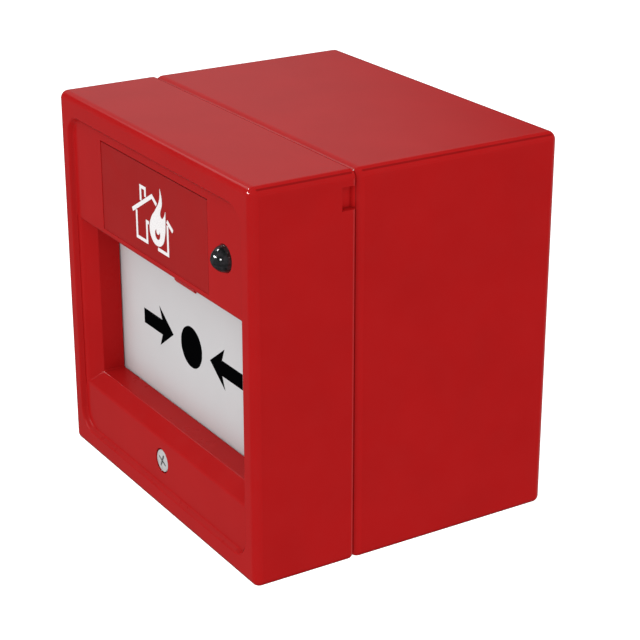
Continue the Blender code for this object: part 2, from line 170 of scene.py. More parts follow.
def place(axis, along, u, v):
    """A point from its position along an axis and the two other coordinates, in x, depth, z order."""
    if axis == "x":
        return world(along, u, v)
    if axis == "d":
        return world(u, along, v)
    return world(u, v, along)


def link(name, data):
    """A new object in the scene from a mesh, curve, light or camera."""
    obj = bpy.data.objects.new(name, data)
    bpy.context.scene.collection.objects.link(obj)
    return obj


def skin(name, rings):
    """A closed solid through rings with equal numbers of points in the frame."""
    bm = bmesh.new()
    loops = [[bm.verts.new(point) for point in ring] for ring in rings]
    for near, far in zip(loops, loops[1:]):
        for i in range(len(near)):
            j = (i + 1) % len(near)
            bm.faces.new((near[i], near[j], far[j], far[i]))
    bm.faces.new(loops[0])
    bm.faces.new(loops[-1])
    bmesh.ops.recalc_face_normals(bm, faces=bm.faces)
    mesh = bpy.data.meshes.new(name)
    bm.to_mesh(mesh)
    bm.free()
    return link(name, mesh)


def stack(name, axis, rings):
    """A solid through rings along an axis, each (position along the axis, [(u, v), ...])."""
    return skin(name, [[place(axis, along, u, v) for u, v in ring] for along, ring in rings])


def rectangle(x0, x1, z0, z1, radius, steps=8):
    """The outline of a rectangle with rounded corners."""
    corners = ((x1 - radius, z1 - radius), (x0 + radius, z1 - radius),
               (x0 + radius, z0 + radius), (x1 - radius, z0 + radius))
    points = []
    for quarter, (cx, cz) in enumerate(corners):
        for step in range(steps + 1):
            angle = math.pi / 2 * (quarter + step / steps)
            points.append((cx + radius * math.cos(angle), cz + radius * math.sin(angle)))
    return points


def loft(name, sections):
    """A solid along the depth from sections (depth, x0, x1, z0, z1, corner radius)."""
    return stack(name, "d", [(s[0], rectangle(*s[1:])) for s in sections])


def stepped_plate(name, x, z, steps):
    """A plate with rounded corners from (depth, inset, corner radius) steps."""
    sections = []
    for depth, inset, radius in steps:
        sections.append((depth, x[0] + inset, x[1] - inset, z[0] + inset, z[1] - inset, radius))
    return loft(name, sections)


def slab(name, x, depth, z, radius):
    """A straight block with rounded corners."""
    return stepped_plate(name, x, z, [(depth[0], 0.0, radius), (depth[1], 0.0, radius)])


def block(name, x, depth, z):
    """A straight block with square corners."""
    outline = [(x[0], z[0]), (x[1], z[0]), (x[1], z[1]), (x[0], z[1])]
    return stack(name, "d", [(depth[0], outline), (depth[1], outline)])


def circle(centre, radius, sides):
    angles = [2 * math.pi * i / sides for i in range(sides)]
    return [(centre[0] + radius * math.cos(a), centre[1] + radius * math.sin(a)) for a in angles]


def turned(name, axis, centre, profile, sides=64):
    """A round solid from (position along the axis, radius) pairs."""
    return stack(name, axis, [(p, circle(centre, r, sides)) for p, r in profile])


def rod(name, axis, centre, radius, ends, sides=64):
    return turned(name, axis, centre, [(ends[0], radius), (ends[1], radius)], sides)


def mixed(target, tools, operation):
    """Cuts the tools from the target, or joins them to it, and removes the tools."""
    for tool in tools:
        modifier = target.modifiers.new("shape", "BOOLEAN")
        modifier.operation = operation
        modifier.solver = "EXACT"
        modifier.object = tool
    graph = bpy.context.evaluated_depsgraph_get()
    result = bpy.data.meshes.new_from_object(target.evaluated_get(graph))
    target.modifiers.clear()
    target.data = result
    for tool in tools:
        bpy.data.objects.remove(tool)


def cut(target, *tools):
    mixed(target, tools, "DIFFERENCE")


def join(target, *tools):
    mixed(target, tools, "UNION")


def smooth(obj, angle=30.0, weighted=True):
    """Smooth shading that keeps sharp edges and flat faces."""
    obj.data.shade_smooth()
    obj.data.set_sharp_from_angle(angle=math.radians(angle))
    if weighted:
        modifier = obj.modifiers.new("flat_faces", "WEIGHTED_NORMAL")
        modifier.keep_sharp = True
    return obj


def span(low, high, sign=1):
    """Two coordinates on one side of the middle, or mirrored to the other side."""
    return tuple(sorted((low * sign, high * sign)))


def quarter_turn(count):
    """Angles from nought to a right angle."""
    return [math.pi / 2 * step / count for step in range(count + 1)]


def rounded_case(name, front, back, front_round, back_round):
    """A square case with rounded front, back and long edges."""
    steps = []
    for angle in quarter_turn(10):
        inset = front_round * (1 - math.sin(angle))
        steps.append((front + front_round * (1 - math.cos(angle)), inset, max(EDGE - inset, 0.05)))
    for angle in quarter_turn(8):
        inset = back_round * (1 - math.cos(angle))
        steps.append((back - back_round * (1 - math.sin(angle)), inset, max(EDGE - inset, 0.05)))
    return stepped_plate(name, (-HALF, HALF), (-HALF, HALF), steps)


# Node helpers

class Recipe:
    """A Principled material being wired up, with noise measured on the object itself."""

    def __init__(self, name, roughness=0.5, metallic=0.0):
        self.material = bpy.data.materials.new(name)
        self.material.use_nodes = True
        self.tree = self.material.node_tree
        self.shader = self.tree.nodes["Principled BSDF"]
        self.shader.inputs["Roughness"].default_value = roughness
        self.shader.inputs["Metallic"].default_value = metallic
        self.coordinates = self.tree.nodes.new("ShaderNodeTexCoord").outputs["Object"]

    def node(self, kind, **settings):
        made = self.tree.nodes.new(kind)
        for key, value in settings.items():
            setattr(made, key, value)
        return made

    def link(self, source, target):
        self.tree.links.new(source, target)

    def noise(self, size_mm, detail=3.0, stretch=(1, 1, 1)):
        """Noise whose features are about size_mm across."""
        mapping = self.node("ShaderNodeMapping")
        mapping.inputs["Scale"].default_value = stretch
        self.link(self.coordinates, mapping.inputs["Vector"])
        noise = self.node("ShaderNodeTexNoise")
        noise.inputs["Scale"].default_value = 1 / (size_mm * MM)
        noise.inputs["Detail"].default_value = detail
        self.link(mapping.outputs["Vector"], noise.inputs["Vector"])
        return noise.outputs["Fac"]

    def ramp(self, factor, stops, blend="LINEAR"):
        """Colours against a factor, from (position, colour) stops."""
        ramp = self.node("ShaderNodeValToRGB")
        ramp.color_ramp.interpolation = blend
        elements = ramp.color_ramp.elements
        while len(elements) < len(stops):
            elements.new(0.5)
        for element, (position, colour) in zip(elements, stops):
            element.position = position
            element.color = (*colour, 1.0)
        self.link(factor, ramp.inputs["Fac"])
        return ramp.outputs["Color"]

    def between(self, factor, low, high, near=0.3, far=0.7):
        """A number that follows a factor from low to high."""
        spread = self.node("ShaderNodeMapRange")
        spread.inputs["From Min"].default_value = near
        spread.inputs["From Max"].default_value = far
        spread.inputs["To Min"].default_value = low
        spread.inputs["To Max"].default_value = high
        self.link(factor, spread.inputs["Value"])
        return spread.outputs["Result"]

    def parts(self, vector=None):
        """The X, Y and Z outputs of a vector, or of the position on the object."""
        split = self.node("ShaderNodeSeparateXYZ")
        self.link(vector or self.coordinates, split.inputs[0])
        return split.outputs

    def within(self, low, high, soft_mm=0.15):
        """One inside the box between two corners, nought outside it."""
        position = self.parts()
        soft = soft_mm * MM
        inside = None
        for axis, near, far in zip("XYZ", low, high):
            for edge, start, end in ((near, 0.0, 1.0), (far, 1.0, 0.0)):
                side = self.between(position[axis], start, end, edge - soft, edge + soft)
                inside = self.times(inside, side) if inside else side
        return inside

    def combine(self, operation, first, second):
        """A math node on two linked values."""
        made = self.node("ShaderNodeMath", operation=operation)
        self.link(first, made.inputs[0])
        self.link(second, made.inputs[1])
        return made.outputs[0]

    def times(self, first, second):
        return self.combine("MULTIPLY", first, second)

    def with_number(self, operation, value, number=0.0):
        """A math node on a linked value and a plain number in millimetres."""
        made = self.node("ShaderNodeMath", operation=operation)
        made.inputs[1].default_value = number * MM
        self.link(value, made.inputs[0])
        return made.outputs[0]

    def tinted(self, colour, amount, by):
        """A colour multiplied by a grey value where amount is one."""
        mix = self.node("ShaderNodeMix", data_type="RGBA", blend_type="MULTIPLY", clamp_result=False)
        mix.inputs["B"].default_value = (by, by, by, 1.0)
        self.link(amount, mix.inputs["Factor"])
        self.link(colour, mix.inputs["A"])
        return mix.outputs["Result"]

    def colour(self):
        return self.shader.inputs["Base Color"].links[0].from_socket

    def set_colour(self, colour):
        self.link(colour, self.shader.inputs["Base Color"])

    def set_roughness(self, value):
        self.link(value, self.shader.inputs["Roughness"])

    def bump(self, height, strength, distance_mm):
        """Adds a layer of bump on top of those already there."""
        bump = self.node("ShaderNodeBump")
        bump.inputs["Strength"].default_value = strength
        bump.inputs["Distance"].default_value = distance_mm * MM
        self.link(height, bump.inputs["Height"])
        normal = self.shader.inputs["Normal"]
        if normal.is_linked:
            self.link(normal.links[0].from_socket, bump.inputs["Normal"])
        self.link(bump.outputs["Normal"], normal)


# Materials

RED = (0.42, 0.0086, 0.0092)
LABEL_RED = (0.348, 0.0085, 0.0085)
PALE = (0.605, 0.602, 0.610)
CHARCOAL = (0.022, 0.022, 0.024)
YELLOW = (0.78, 0.52, 0.01)
NEAR_BLACK = (0.012, 0.012, 0.012)
STEEL = (0.66, 0.66, 0.67)
BRASS = (0.62, 0.43, 0.15)
TAN = (0.45, 0.33, 0.2)


def shade(colour, amount):
    return tuple(min(channel * amount, 1.0) for channel in colour)


def moulded(name, colour, roughness, grain_mm, grain_depth, mottle=0.06, sheen=0.35):
    """Injection-moulded plastic: faint colour mottling, uneven gloss and a fine surface grain."""
    recipe = Recipe(name)
    recipe.shader.inputs["Specular IOR Level"].default_value = sheen
    cloud = recipe.noise(14.0, 2.0)
    mottled = [(0.3, shade(colour, 1 - mottle)), (0.7, shade(colour, 1 + mottle))]
    recipe.set_colour(recipe.ramp(cloud, mottled))
    recipe.set_roughness(recipe.between(recipe.noise(5.0, 4.0), roughness * 0.85, roughness * 1.15))
    recipe.bump(recipe.noise(9.0, 1.0), 0.25, 0.02)
    recipe.bump(recipe.noise(grain_mm, 2.0), 0.35, grain_depth)
    return recipe


def metal(name, colour, roughness, stretch=(1, 1, 1), metallic=0.7):
    """Plated or turned metal with fine directional scratches."""
    recipe = Recipe(name, metallic=metallic)
    streak = recipe.noise(0.5, 4.0, stretch)
    recipe.set_colour(recipe.ramp(streak, [(0.3, shade(colour, 0.85)), (0.7, colour)]))
    recipe.set_roughness(recipe.between(streak, roughness * 0.7, roughness * 1.4))
    recipe.bump(streak, 0.2, 0.01)
    return recipe.material


def screw_plating():
    """Bright plating, with painted shade darkening the cross recess."""
    recipe = Recipe("screw_plating", metallic=0.1)
    x, z = SCREW_AT
    front, reach = PANEL + 0.18, 2.0
    low = world(x - reach, front, z - reach)
    high = world(x + reach, front + reach, z + reach)
    streak = recipe.noise(1.2, 2.0)
    plating = recipe.ramp(streak, [(0.3, (0.52, 0.52, 0.52)), (0.7, (0.58, 0.58, 0.58))])
    # Painted shade: the plating is darkened inside the cross recess.
    recipe.set_colour(recipe.tinted(plating, recipe.within(low, high, 0.05), 0.4))
    recipe.set_roughness(recipe.between(streak, 0.35, 0.5))
    recipe.bump(streak, 0.1, 0.01)
    return recipe.material


def matt_red_plastic():
    return moulded("matt_red_plastic", RED, 0.3, 0.6, 0.002, 0.03, 0.04).material


def red_plastic():
    """Glossy red; painted shade darkens the long top edges and the seam, painted light brightens the notches.
    """
    recipe = moulded("red_plastic", RED, 0.13, 0.6, 0.002, 0.03)
    colour = recipe.colour()
    low_z, high_z = NOTCH_Z
    # Painted light: the notch floors and the box wall behind them are lightened against the shade in the
    # notch.
    for sign in (-1, 1):
        low, high = span(NOTCH_FACE - 0.4, NOTCH_FACE + 1.5, sign)
        floor = recipe.within(world(low, NOTCH_FRONT - 0.2, low_z + 0.2),
                              world(high, COVER_BACK, high_z - 0.2))
        wall = recipe.within(world(low, BOX_FRONT, low_z), world(high, BOX_FRONT + 0.6, high_z))
        colour = recipe.tinted(recipe.tinted(colour, floor, 1.25), wall, 1.05)
    # Painted shade: a darker band in the seam between cover and box.
    seam = recipe.within(world(-BEYOND, COVER_BACK - 0.1, -BEYOND),
                         world(BEYOND, COVER_BACK + 0.06, BEYOND), 0.06)
    colour = recipe.tinted(colour, seam, 0.6)
    # Painted shade: a darker line along the long top edges.
    recipe.set_colour(recipe.tinted(colour, top_edge_shade(recipe), 0.64))
    return recipe.material


def top_edge_shade(recipe):
    """One where a surface faces up and out to either side, as the long top edges do: the mask for their
    painted shade.
    """
    normal = recipe.parts(recipe.node("ShaderNodeTexCoord").outputs["Normal"])
    sideways = recipe.with_number("ABSOLUTE", normal["X"])
    return recipe.between(recipe.times(sideways, normal["Z"]), 0.0, 1.0, 0.478, 0.492)


def label_plastic():
    return moulded("label_plastic", LABEL_RED, 0.35, 0.5, 0.002, 0.03, 0.13).material


def pale_plastic():
    return moulded("pale_plastic", PALE, 0.42, 0.5, 0.003, 0.015).material


def dark_plastic():
    return moulded("dark_plastic", CHARCOAL, 0.45, 0.3, 0.012, 0.15).material


def ink(name, colour, roughness):
    """Screen-printed ink, with pinholes too fine to show as a pattern."""
    recipe = Recipe(name)
    grain = recipe.noise(0.3, 3.0)
    recipe.set_colour(recipe.ramp(grain, [(0.35, colour), (0.75, shade(colour, 1.25))]))
    recipe.set_roughness(recipe.between(grain, roughness * 0.85, roughness * 1.2))
    recipe.shader.inputs["Specular IOR Level"].default_value = 0.0
    recipe.bump(grain, 0.15, 0.003)
    return recipe.material


def lens_plastic():
    """Smoked clear plastic: near black, with a cloudy depth."""
    recipe = Recipe("lens_plastic")
    smoke = [(0.35, (0.010, 0.012, 0.012)), (0.7, (0.042, 0.042, 0.046))]
    recipe.set_colour(recipe.ramp(recipe.noise(1.1, 3.0), smoke))
    recipe.set_roughness(recipe.between(recipe.noise(2.0, 2.0), 0.05, 0.12))
    recipe.bump(recipe.noise(1.6, 1.0), 0.08, 0.02)
    return recipe.material


def lamp_plastic():
    recipe = Recipe("lamp_plastic", 0.12)
    recipe.shader.inputs["Transmission Weight"].default_value = 0.6
    milk = [(0.3, (0.75, 0.75, 0.73)), (0.7, (0.9, 0.9, 0.88))]
    recipe.set_colour(recipe.ramp(recipe.noise(1.5), milk))
    recipe.bump(recipe.noise(0.8, 2.0), 0.2, 0.01)
    return recipe.material


def striped_flag():
    """Yellow plastic with plain black diagonal warning bars."""
    recipe = moulded("flag_plastic", YELLOW, 0.35, 0.4, 0.006, 0.03)
    bar = 3.5
    position = recipe.parts()
    slope = recipe.combine("ADD", position["X"], position["Z"])
    repeat = recipe.with_number("PINGPONG", slope, bar)
    bars = recipe.with_number("GREATER_THAN", repeat, bar / 2)
    mix = recipe.node("ShaderNodeMix", data_type="RGBA")
    mix.inputs["B"].default_value = (*NEAR_BLACK, 1.0)
    recipe.link(bars, mix.inputs["Factor"])
    recipe.link(recipe.colour(), mix.inputs["A"])
    recipe.set_colour(mix.outputs["Result"])
    return recipe.material


def board_laminate():
    """Green solder mask over copper tracks that show as a lighter, raised pattern."""
    recipe = Recipe("board_laminate")
    tracks = recipe.node("ShaderNodeTexBrick")
    tracks.inputs["Scale"].default_value = 1.0
    tracks.inputs["Brick Width"].default_value = 7.0 * MM
    tracks.inputs["Row Height"].default_value = 2.2 * MM
    tracks.inputs["Mortar Size"].default_value = 0.28 * MM
    for part, colour in (("Color1", (0.006, 0.085, 0.028)), ("Color2", (0.008, 0.10, 0.034)),
                         ("Mortar", (0.02, 0.19, 0.06))):
        tracks.inputs[part].default_value = (*colour, 1.0)
    turn = recipe.node("ShaderNodeMapping")
    turn.inputs["Rotation"].default_value = (math.pi / 2, 0.0, 0.0)
    recipe.link(recipe.coordinates, turn.inputs["Vector"])
    recipe.link(turn.outputs["Vector"], tracks.inputs["Vector"])
    recipe.set_colour(tracks.outputs["Color"])
    recipe.set_roughness(recipe.between(recipe.noise(2.0), 0.25, 0.4))
    recipe.bump(tracks.outputs["Fac"], 0.5, 0.03)
    return recipe.material


def banded(name, axis, colours, width_mm):
    """A component body with painted rings along one axis, mirrored every width_mm."""
    recipe = Recipe(name, 0.35)
    repeat = recipe.with_number("PINGPONG", recipe.parts()[axis], width_mm)
    place_in_band = recipe.between(repeat, 0.0, 1.0, 0.0, width_mm * MM)
    stops = [(i / len(colours), colour) for i, colour in enumerate(colours)]
    recipe.set_colour(recipe.ramp(place_in_band, stops, "CONSTANT"))
    recipe.bump(recipe.noise(0.4), 0.2, 0.01)
    return recipe.material


# Front cover

def make_cover(material, matt):
    cover = rounded_case("cover_shell", 0.0, COVER_BACK, EDGE, COVER_SEAM)
    inside = (COVER_WALL - HALF, HALF - COVER_WALL)
    cut(cover, rim_recess())
    cut(cover, slab("cavity", inside, (FACE_BACK, COVER_BACK + 1.0), inside, CAVITY_CORNER))
    join(cover, funnel_outside(), rod("boss", "d", SCREW_AT, 4.5, (2.5, 7.25)))
    for sign in (-1, 1):
        join(cover, notch_pad(sign))
    cut(cover, window_cutter())
    cut(cover, label_cutter(), lens_cutter(), counterbore_cutter())
    cut(cover, rod("screw_hole", "d", SCREW_AT, 1.8, (2.0, 9.0)))
    cut(cover, slab("key_slot", (-22.0, -14.0), (13.5, 16.5), (-BEYOND, -40.0), 0.4))
    for sign in (-1, 1):
        cut(cover, block("notch", span(NOTCH_FACE, BEYOND, sign), (NOTCH_FRONT, COVER_BACK + 1.0), NOTCH_Z))
        add_hinge_bar(cover, sign)
    join(cover, hood_tab())
    smooth(cover, 28)
    cover.data.materials.clear()
    cover.data.materials.append(material)
    cover.data.materials.append(matt)
    for face in cover.data.polygons:
        face.material_index = 1 if is_matt(face.center) else 0
    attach(cover, "cover")
    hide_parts("front_cover")


def notch_pad(sign):
    """Thickens the wall from inside, so that the notch has a floor."""
    return block("pad", span(38.6, 41.9, sign), (19.8, COVER_BACK - 0.02), (34.4, 41.9))


def add_hinge_bar(cover, sign):
    """A bar across a pocket under the top wall, for a hook of the chassis to hold."""
    cut(cover, block("pocket", span(24.0, 34.0, sign), (19.5, COVER_BACK + 1.0), (40.3, 42.7)))
    join(cover, rod("hinge_bar", "x", (COVER_BACK - 1.0, HALF - 1.0), 0.95, span(23.6, 34.4, sign), 32))


def is_matt(point):
    """True where the red has little gloss.

    These are the inside of the window, the steps above and below the panel, the panel's lower left
    corner, and the rounding at the seam along the top and at the top right.
    """
    end = COVER_BACK + 0.01
    rim_z, panel_z = RIM_HALF[1], PANEL_HALF[1]
    window = (world(-37.4, CREASE + 0.1, -26.9), world(37.4, 14.0, 16.5))
    top_step = (world(-37.0, 0.1, panel_z), world(37.0, PANEL - 0.02, rim_z))
    low_step = (world(-37.0, 0.12, -rim_z), world(40.0, PANEL - 0.1, -panel_z))
    low_left = (world(-40.0, 0.01, -40.0), world(-33.2, PANEL + 0.01, -33.2))
    top_seam = (world(-BEYOND, COVER_BACK - 0.3, 42.0), world(BEYOND, end, BEYOND))
    seam_corner = (world(41.0, COVER_BACK - 0.9, 41.0), world(BEYOND, end, BEYOND))
    zones = (window, top_step, low_step, low_left, top_seam, seam_corner)
    return any(all(near < value < far for near, value, far in zip(low, point, high)) for low, high in zones)


def rim_recess():
    """The shallow S-shaped step from the rim down to the panel."""
    corner = 5.0
    sections = [(-1.0, -RIM_HALF[0], RIM_HALF[0], -RIM_HALF[1], RIM_HALF[1], corner)]
    count = 12
    for step in range(count + 1):
        part = step / count
        half_x, half_z = (rim + (panel - rim) * part for rim, panel in zip(RIM_HALF, PANEL_HALF))
        depth = PANEL * (0.5 - 0.5 * math.cos(math.pi * part))
        sections.append((depth, -half_x, half_x, -half_z, half_z, corner - part))
    return loft("rim_recess", sections)


def funnel_outside():
    """The walls around the window behind the panel, from (depth, half width, bottom, top)."""
    rings = [(2.6, 38.4, -27.8, 16.5), (5.2, 36.2, -25.6, 15.9), (FUNNEL_BACK, 35.8, -25.2, 15.7)]
    return loft("funnel", [(depth, -half, half, low, high, 1.5) for depth, half, low, high in rings])


def window_cutter():
    """The finger opening: on three sides a chamfer leads from the panel, over a crease, to straight walls."""
    slope = math.atan2(CREASE - PANEL, CHAMFER)
    steps = [(PANEL - 0.9, CHAMFER + 1.2, 0.9), (PANEL - 0.004, CHAMFER + 1.2, 0.9)]
    steps += chamfer_mouth(slope) + chamfer_foot(slope)
    steps += [(CREASE + 1.2, -0.02, 0.0), (14.0, -0.15, 0.0)]
    sections = []
    for depth, widening, lift in steps:
        half = WINDOW_HALF + widening
        corner = 0.3 + 0.04 * max(widening, 0)
        sections.append((depth, -half, half, WINDOW_BOTTOM - widening, HOOD_EDGE + lift, corner))
    return loft("window", sections)


def chamfer_mouth(slope, blend=1.1, count=8):
    """A parabola from the panel into the chamfer, as (depth, widening, lift of the hood) steps."""
    steps = []
    for step in range(count + 1):
        part = step / count
        drop = blend * math.tan(slope) / 2 * part ** 2
        steps.append((PANEL + drop, CHAMFER + blend / 2 - blend * part, 0.85 * (1 - part) ** 2))
    return steps


def chamfer_foot(slope, radius=0.35, count=6):
    """An arc from the chamfer into the straight walls, as steps of the same kind."""
    turn = math.pi / 2 - slope
    back = radius * math.tan(turn / 2)
    steps = []
    for step in range(count + 1):
        angle = slope + turn * step / count
        steps.append((CREASE + back - radius * math.cos(angle), radius * (1 - math.sin(angle)), 0.0))
    return steps


def label_cutter():
    """The label's recess, with a gap that shows along the top and the right."""
    (x0, x1), _, (z0, z1) = LABEL
    tight, gap = 0.03, 0.3
    low = z0 - LABEL_DROP + 0.06
    return slab("label_recess", (x0 - tight, x1 + gap), (-1.0, 2.0), (low, z1 + gap), 0.05)


def flared(name, at, radius, flare, bottom):
    """A round hole with a rounded mouth at the panel."""
    profile = [(PANEL - 1.5, radius + flare), (PANEL, radius + flare)]
    for angle in quarter_turn(5)[1:]:
        profile.append((PANEL + flare * (1 - math.cos(angle)), radius + flare * (1 - math.sin(angle))))
    profile.append((bottom, radius))
    return turned(name, "d", at, profile)


def lens_cutter():
    return flared("lens_hole", LENS_AT, 3.0, 0.08, 5.0)


def counterbore_cutter():
    return flared("counterbore", SCREW_AT, 2.88, 0.06, 3.25)


def hood_tab():
    """The small tab under the hood, from its side outline of (depth, height) points."""
    outline = [(8.3, 8.2), (8.7, 7.6), (9.0, 7.7), (9.0, 15.0), (8.3, 15.0)]
    return stack("hood_tab", "x", [(-5.0, outline), (3.9, outline)])


def make_label(material):
    """A thin plate with softened top and side edges."""
    (x0, x1), (front, back), (z0, z1) = LABEL
    z0 -= LABEL_DROP
    soft, corner = 0.08, 0.12
    sections = [(front, x0 + soft, x1 - soft, z0, z1 - soft, 0.1),
                (front + soft, x0, x1, z0, z1, corner),
                (back, x0, x1, z0, z1, corner)]
    label = smooth(loft("label_plate", sections))
    label.data.materials.append(material)
    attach(label, "cover")
    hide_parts("symbol_label")


def make_lens(material):
    """A smooth dome with a stem and a flange, which other surfaces neither reflect nor bounce light off."""
    _, (tip, back), _ = extent("led_lens")
    height, radius, fullness = PANEL - tip, 2.91, 1.7
    flange, flange_front = 4.0, back - 0.75
    profile = [(back, flange), (flange_front, flange), (flange_front, radius), (PANEL + 0.3, radius)]
    count = 24
    for step in range(count):
        part = math.sin(math.pi / 2 * step / count)
        profile.append((PANEL - height * part, radius * (1 - part ** fullness) ** (1 / fullness)))
    profile.append((tip, 0.1))
    lens = smooth(turned("lens_dome", "d", LENS_AT, profile), 50, False)
    lens.data.materials.append(material)
    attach(lens, "cover")
    lens.visible_diffuse = False
    lens.visible_glossy = False
    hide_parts("led_lens")
    return lens


def make_cover_screw(material):
    """A flat-headed screw with a softened rim, a tapered cross recess and a thread."""
    _, (front, back), _ = extent("cover_screw")
    face, head, shank = PANEL + 0.1, 2.6, 1.5
    under = face + 1.5
    profile = [(face, 0.6), (face + 0.02, head - 0.2), (face + 0.1, head - 0.04), (face + 0.25, head),
               (under, head), (under, shank)]
    profile += thread(front + 3.2, back - 0.6, shank)
    profile.append((back, 1.0))
    screw = turned("screw_head", "d", SCREW_AT, profile, 48)
    cut(screw, *cross_tools(SCREW_AT, face, 1.95, 0.3, 0.8, math.radians(-26)))
    smooth(screw, 35)
    screw.data.materials.append(material)
    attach(screw, "cover_fixing")
    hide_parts("cover_screw")


def thread(start, end, radius, pitch=0.6):
    """Ridges that read as a thread, as (depth, radius) points."""
    points = []
    for i in range(int((end - start) / pitch)):
        points += [(start + i * pitch, radius), (start + (i + 0.5) * pitch, radius * 0.84)]
    return points


def cross_tools(at, front, length, half_width, deep, turn):
    """Two tapered blades that cut a cross recess, turned about the screw's axis."""
    mouth = (front - 0.5, length * 1.05, half_width * 1.15)
    foot = (front + deep, length * 0.6, half_width * 0.6)
    tools = []
    for angle in (turn, turn + math.pi / 2):
        rings = [(depth, turned_rectangle(at, reach, wide, angle)) for depth, reach, wide in (mouth, foot)]
        tools.append(stack("cross", "d", rings))
    return tools


def turned_rectangle(at, reach, wide, angle):
    cosine, sine = math.cos(angle), math.sin(angle)
    corners = ((reach, wide), (-reach, wide), (-reach, -wide), (reach, -wide))
    return [(at[0] + a * cosine - b * sine, at[1] + a * sine + b * cosine) for a, b in corners]


# Symbol and prints, as thin raised ink

def flat_print(name, outlines, surface, thickness, material, body):
    """Ink on a front face at depth surface, inside the outlines."""
    source = link(name + "_outline", filled_curve(name, outlines, thickness))
    graph = bpy.context.evaluated_depsgraph_get()
    mesh = bpy.data.meshes.new_from_object(source.evaluated_get(graph))
    bpy.data.objects.remove(source)
    for vertex in mesh.vertices:
        x, z, lift = vertex.co
        vertex.co = world(x, surface - thickness / 2 - lift, z)
    piece = link(name, mesh)
    merge_close(piece)
    piece.data.materials.clear()
    piece.data.materials.append(material)
    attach(piece, body)


def filled_curve(name, outlines, thickness):
    """A thick flat shape inside closed outlines of points (x, z), or (x, z, True) for a sharp corner."""
    curve = bpy.data.curves.new(name, "CURVE")
    curve.dimensions = "2D"
    curve.fill_mode = "BOTH"
    curve.extrude = thickness / 2
    curve.resolution_u = 10
    for points in outlines:
        spline = curve.splines.new("BEZIER")
        spline.bezier_points.add(len(points) - 1)
        for control, (x, z, *sharp) in zip(spline.bezier_points, points):
            control.co = (x, z, 0.0)
            control.handle_left_type = "VECTOR" if sharp else "AUTO"
            control.handle_right_type = control.handle_left_type
        spline.use_cyclic_u = True
    return curve


def merge_close(obj):
    """Welds the front, back and sides of a filled curve into one closed mesh."""
    bm = bmesh.new()
    bm.from_mesh(obj.data)
    bmesh.ops.remove_doubles(bm, verts=bm.verts, dist=0.002 * MM)
    bmesh.ops.recalc_face_normals(bm, faces=bm.faces)
    bm.to_mesh(obj.data)
    bm.free()


def stroke(points, half):
    """The outline of an open line of even width, with mitred corners."""
    left, right = [], []
    for i, (x, z) in enumerate(points):
        before = Vector(points[max(i - 1, 0)])
        after = Vector(points[min(i + 1, len(points) - 1)])
        here = Vector((x, z))
        into = (here - before).normalized() if i else (after - here).normalized()
        out = (after - here).normalized() if i < len(points) - 1 else into
        normal = Vector((-into.y - out.y, into.x + out.x)).normalized()
        reach = half / max(normal.dot(Vector((-into.y, into.x))), 0.3)
        left.append(tuple(here + normal * reach))
        right.append(tuple(here - normal * reach))
    return [(*point, True) for point in left + right[::-1]]


def make_symbol(material):
    """A plain house with a flame in front of it. Each stroke stands a little higher than the last."""
    surface = LABEL[1][0]
    walls, roof = 0.38, 0.45
    strokes = {
        "roof_left": (roof, [(-9.9, 24.3), (-0.5, 29.75), (1.55, 28.4)]),
        "roof_right": (roof, [(6.15, 26.1), (8.7, 24.5)]),
        "wall_left": (walls, [(-7.95, 24.75), (-7.95, 18.7), (-3.25, 18.7), (-3.25, 23.3), (-2.3, 23.3)]),
        "wall_right": (walls, [(1.7, 18.6), (6.35, 18.6), (6.35, 25.2)]),
        "chimney": (walls, [(-5.75, 27.4), (-5.75, 30.6), (-3.6, 30.6), (-3.6, 28.7)]),
    }
    for number, (name, (half, points)) in enumerate(strokes.items()):
        flat_print("symbol_" + name, [stroke(points, half)], surface, 0.05 + 0.003 * number,
                   material, "cover")
    flame = [(3.3, 32.5, True), (3.05, 30.1), (1.1, 27.3), (-1.05, 24.9), (-1.9, 22.4), (-0.95, 20.2),
             (1.35, 19.25), (3.9, 20.2), (5.15, 22.6), (5.5, 25.2), (5.6, 28.0, True), (4.75, 26.55),
             (3.85, 26.0), (3.2, 26.5), (3.35, 27.5), (4.05, 29.0), (4.0, 30.6)]
    hollow = [(1.2, 23.1, True), (0.55, 22.1), (0.85, 21.1), (1.8, 20.7), (2.75, 21.3), (2.9, 22.9, True),
              (2.4, 22.1), (1.85, 21.9), (1.35, 22.2)]
    flat_print("symbol_flame", [flame, hollow], surface, 0.075, material, "cover")


def make_element(material, black):
    """The press plate with softened edges, its knuckles and spring seats, and the prints on it."""
    x, (front, _), (_, top) = ELEMENT
    z = (-26.0, top)
    back, soft = front + 1.8, 0.3
    steps = [(front, soft, 0.8), (front + 0.09, 0.09, 0.95), (front + soft, 0.0, 1.0), (back, 0.0, 1.0)]
    plate = stepped_plate("press_plate_face", x, z, steps)
    for sign in (-1, 1):
        join(plate, block("web", span(22.0, 30.0, sign), (back - 0.4, PIVOT[0]), (-28.6, -23.0)),
             rod("knuckle", "x", PIVOT, 1.9, span(22.1, 29.9, sign), 40),
             rod("seat", "d", (sign * 26.0, 10.0), 1.5, (back - 0.4, 12.6), 32))
        cut(plate, rod("bore", "x", PIVOT, 0.97, span(21.0, 31.0, sign), 32))
    smooth(plate)
    plate.data.materials.clear()
    plate.data.materials.append(material)
    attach(plate, "press_plate")
    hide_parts("operating_element")
    make_arrows(front, black)


def make_arrows(front, black):
    """Two arrows that point at a dot."""
    middle, shaft, barb = -6.43, 1.815, 4.77
    tail, neck, heel, tip = -22.7, -13.8, -15.0, -8.45
    above = [(tail, shaft), (neck, shaft), (heel, barb)]
    below = [(x, -rise) for x, rise in reversed(above)]
    for name, sign in (("arrow_left", 1), ("arrow_right", -1)):
        outline = [(x * sign, middle + rise, True) for x, rise in [*above, (tip, 0.0), *below]]
        flat_print(name, [outline], front, 0.04, black, "press_plate")
    dot = circle((0.0, -6.46), 4.82, 12)
    flat_print("press_dot", [dot], front, 0.04, black, "press_plate")


# Back box

